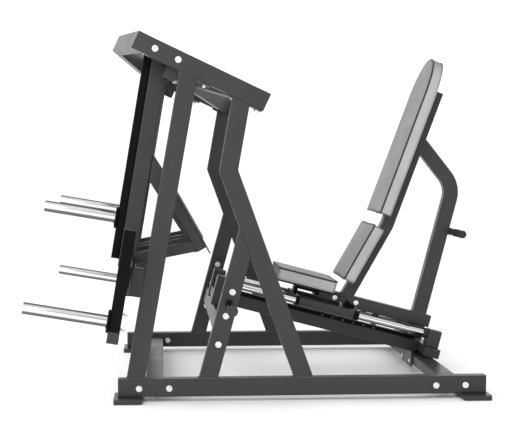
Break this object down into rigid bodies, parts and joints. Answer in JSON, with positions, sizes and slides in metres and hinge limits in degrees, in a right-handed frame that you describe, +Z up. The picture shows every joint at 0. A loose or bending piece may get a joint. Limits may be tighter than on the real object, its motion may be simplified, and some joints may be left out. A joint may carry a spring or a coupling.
{
  "type": "leg press machine",
  "caption": "Plate-loaded leg press with independent overhead swing arms, tilted foot plates and a padded seat that slides along inclined chrome rods",
  "frame": {"origin": "on the floor, under the centre of the bounding box", "axes": "+X from the weight horns towards the seat back, +Y to the machine's right-hand side for a seated user, +Z up"},
  "size_m": [2.0698, 1.692, 1.6672],
  "materials": {
    "frame_paint": "charcoal powder coat, fine texture, satin",
    "black_paint": "black powder coat, satin",
    "chrome": "polished chrome plate",
    "zinc_steel": "bright zinc plated steel",
    "bronze": "plain sintered bronze",
    "rubber": "matte black rubber",
    "plastic": "matte black moulded plastic",
    "nylon": "natural nylon",
    "board": "plywood board painted black",
    "vinyl": "grey upholstery vinyl with a fine grain and dark piping"
  },
  "bodies": {
    "frame": {"base_rails": "frame_paint", "base_feet": "frame_paint", "base_crossbars": "frame_paint", "front_posts": "frame_paint", "bent_posts": "frame_paint", "rear_uprights": "frame_paint", "top_beams": "frame_paint", "top_nose": "frame_paint", "top_brace": "frame_paint", "pivot_shaft": "frame_paint", "shaft_collars": "black_paint", "rubber_stops": "rubber", "seat_cross_front": "frame_paint", "seat_base_rail": "frame_paint", "lock_rack": "black_paint", "rod_brackets": "frame_paint", "guide_rods": "chrome", "storage_pegs": "chrome", "frame_end_caps": "plastic", "frame_bolts": "zinc_steel"},
    "arm_left": {"press_arm_left": "frame_paint", "arm_bushes_left": "bronze", "horn_rail_left": "black_paint", "outrigger_left": "black_paint", "horn_flanges_left": "black_paint", "weight_horns_left": "chrome", "horn_bolts_left": "zinc_steel", "foot_plate_left": "frame_paint", "tread_pad_left": "rubber", "plate_frame_left": "frame_paint", "arm_end_caps_left": "plastic"},
    "arm_right": {"press_arm_right": "frame_paint", "arm_bushes_right": "bronze", "horn_rail_right": "black_paint", "outrigger_right": "black_paint", "horn_flanges_right": "black_paint", "weight_horns_right": "chrome", "horn_bolts_right": "zinc_steel", "foot_plate_right": "frame_paint", "tread_pad_right": "rubber", "plate_frame_right": "frame_paint", "arm_end_caps_right": "plastic"},
    "seat": {"seat_rail": "frame_paint", "carriage_yokes": "black_paint", "slider_sleeves": "frame_paint", "sleeve_bushes": "nylon", "rear_skid": "plastic", "seat_bolts": "zinc_steel", "seat_end_caps": "plastic", "back_post": "frame_paint", "back_support": "frame_paint", "rear_grip": "frame_paint", "rear_grip_sleeves": "rubber", "pad_boards": "board", "seat_pad": "vinyl", "lower_back_pad": "vinyl", "upper_back_pad": "vinyl"},
    "lock_pin": {"lock_pin": "zinc_steel"},
    "release_lever": {"release_lever": "zinc_steel", "lever_grip": "rubber"}
  },
  "joints": [
    {"name": "left_arm_swing", "type": "hinge", "parent": "frame", "child": "arm_left", "pos_m": [-0.4222, 0, 1.515], "axis": [0, 1, 0], "range_deg": [0, 32]},
    {"name": "right_arm_swing", "type": "hinge", "parent": "frame", "child": "arm_right", "pos_m": [-0.4222, 0, 1.515], "axis": [0, 1, 0], "range_deg": [0, 32]},
    {"name": "seat_slide", "type": "slide", "parent": "frame", "child": "seat", "axis": [-0.9677, 0, 0.2521], "range_m": [0, 0.2675]},
    {"name": "lever_turn", "type": "hinge", "parent": "seat", "child": "release_lever", "pos_m": [0.57028, 0, 0.33515], "axis": [0, 1, 0], "range_deg": [0, 10.6]},
    {"name": "pin_slide", "type": "slide", "parent": "seat", "child": "lock_pin", "axis": [0.2521, 0, 0.9677], "range_m": [-0.013, 0]}
  ],
  "couplings": [
    {"joint": "pin_slide", "follows": "lever_turn", "m_per_rad": -0.07}
  ]
}
